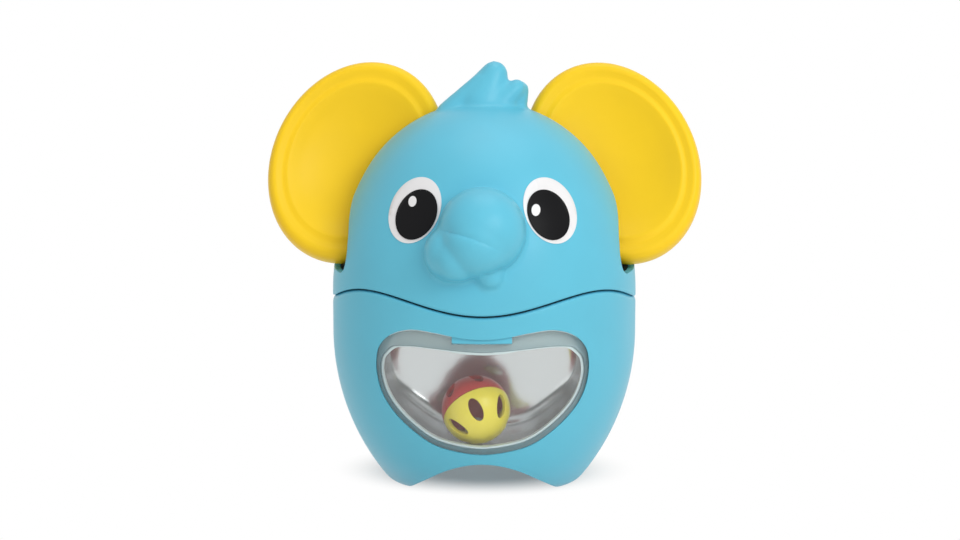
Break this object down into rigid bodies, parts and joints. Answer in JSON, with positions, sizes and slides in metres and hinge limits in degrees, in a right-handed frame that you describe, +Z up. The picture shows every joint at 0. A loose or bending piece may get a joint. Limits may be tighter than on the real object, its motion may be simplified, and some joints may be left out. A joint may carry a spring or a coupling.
{
  "type": "roly-poly toy",
  "caption": "Elephant roly-poly toy with swivelling ears, a curled trunk, rocker feet and a rattle ball in a mirrored bowl behind a clear window",
  "frame": {"origin": "on the floor under the middle of the toy's bounding box", "axes": "+X to the toy's own left ear, -Y the way its face looks, +Z up"},
  "size_m": [0.1628, 0.127, 0.1589],
  "materials": {
    "shell_blue": "satin moulded plastic, light blue",
    "ear_yellow": "satin moulded plastic, warm yellow",
    "eye_white": "smooth white",
    "pupil_black": "smooth black",
    "clear_cover": "clear moulded plastic",
    "silvered": "vacuum-silvered plastic",
    "ball_yellow": "moulded plastic, yellow",
    "ball_red": "moulded plastic, red",
    "bead_steel": "plain steel",
    "inner_dark": "dark moulded plastic",
    "pin_steel": "plain steel",
    "weight_iron": "plain cast"
  },
  "bodies": {
    "toy": {"head_shell": "shell_blue", "body_shell": "shell_blue", "neck_frame": "inner_dark", "ear_carrier": "inner_dark", "ear_pins": "pin_steel", "ear_washers": "inner_dark", "carrier_screws": "pin_steel", "head_screws": "pin_steel", "base_screws": "pin_steel", "left_eye_white": "eye_white", "right_eye_white": "eye_white", "left_pupil": "pupil_black", "right_pupil": "pupil_black", "eye_glints": "eye_white", "window_cover": "clear_cover", "mirror_bowl": "silvered", "foot_weights": "weight_iron", "weight_plate": "inner_dark", "plate_screws": "pin_steel"},
    "left_ear": {"left_ear": "ear_yellow"},
    "right_ear": {"right_ear": "ear_yellow"},
    "ball": {"ball_yellow_half": "ball_yellow", "ball_red_half": "ball_red"},
    "bead": {"rattle_bead": "bead_steel"}
  },
  "joints": [
    {"name": "left_ear_swivel", "type": "hinge", "parent": "toy", "child": "left_ear", "pos_m": [0.028, 0.01048, 0.116], "axis": [0, 0.9397, -0.342], "range_deg": [-8, 2]},
    {"name": "right_ear_swivel", "type": "hinge", "parent": "toy", "child": "right_ear", "pos_m": [-0.028, 0.01048, 0.116], "axis": [0, 0.9397, -0.342], "range_deg": [-2, 8]},
    {"name": "ball_swing", "type": "hinge", "parent": "toy", "child": "ball", "pos_m": [0, -0.02802, 0.064], "axis": [0, 1, 0], "range_deg": [-31, 22]},
    {"name": "bead_shake", "type": "slide", "parent": "ball", "child": "bead", "axis": [0, 0, 1], "range_m": [0, 0.012]}
  ]
}
